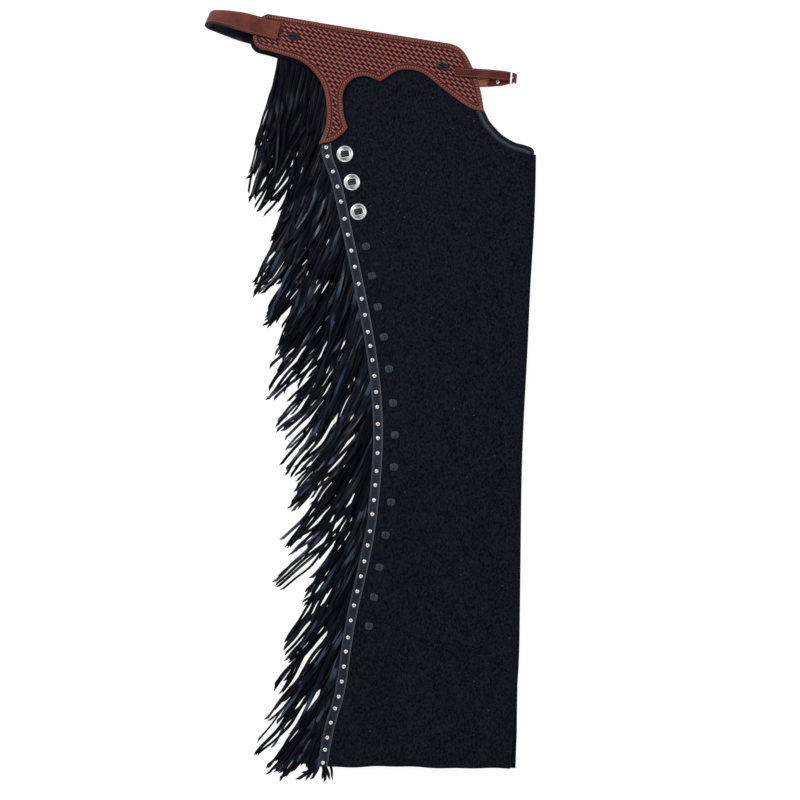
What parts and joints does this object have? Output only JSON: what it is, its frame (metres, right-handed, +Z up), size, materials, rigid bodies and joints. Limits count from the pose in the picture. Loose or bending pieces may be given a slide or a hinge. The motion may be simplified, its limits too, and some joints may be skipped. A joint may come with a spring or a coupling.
{
  "type": "leather chaps",
  "caption": "Fringed shotgun chaps, folded in half and laid flat, with scalloped stamped yokes, a back belt loop, slotted conchos and a small buckled front strap.",
  "frame": {"origin": "on the surface the folded chaps lie on, under the middle of the bounding box", "axes": "+Y from the hem up to the waist, +X across from the fringed side seam to the inner leg, +Z up from the surface, out of the uppermost leg's outer side"},
  "size_m": [0.4299, 1.0006, 0.0296],
  "materials": {
    "black_rough_out": "rough-out, matt napped",
    "black_smooth_leather": "smooth, satin",
    "black_fringe_leather": "smooth, satin",
    "brown_stamped_leather": "basket stamped, satin",
    "brown_strap_leather": "smooth, satin",
    "nickel": "nickel plated, satin"
  },
  "bodies": {
    "root": {"leg_upper": "black_rough_out", "leg_lower": "black_rough_out", "yoke_upper": "brown_stamped_leather", "yoke_lower": "brown_stamped_leather", "strip_upper": "black_smooth_leather", "strip_lower": "black_smooth_leather", "fringe_upper": "black_fringe_leather", "fringe_lower": "black_fringe_leather", "binding_upper": "black_smooth_leather", "binding_lower": "black_smooth_leather", "back_belt": "brown_strap_leather", "back_belt_lining": "black_smooth_leather", "front_strap": "brown_strap_leather", "front_strap_lower": "brown_strap_leather", "buckle_frame": "nickel", "buckle_tongue": "nickel", "buckle_rivet": "nickel", "concho_1": "nickel", "concho_lace_1": "black_smooth_leather", "concho_2": "nickel", "concho_lace_2": "black_smooth_leather", "concho_3": "nickel", "concho_lace_3": "black_smooth_leather", "leg_tie_01": "black_smooth_leather", "leg_tie_02": "black_smooth_leather", "leg_tie_03": "black_smooth_leather", "leg_tie_04": "black_smooth_leather", "leg_tie_05": "black_smooth_leather", "leg_tie_06": "black_smooth_leather", "leg_tie_07": "black_smooth_leather", "leg_tie_08": "black_smooth_leather", "leg_tie_09": "black_smooth_leather", "leg_tie_10": "black_smooth_leather", "leg_tie_11": "black_smooth_leather", "leg_tie_12": "black_smooth_leather", "leg_tie_13": "black_smooth_leather", "yoke_tie_back": "black_smooth_leather", "yoke_tie_front": "black_smooth_leather"}
  },
  "joints": []
}
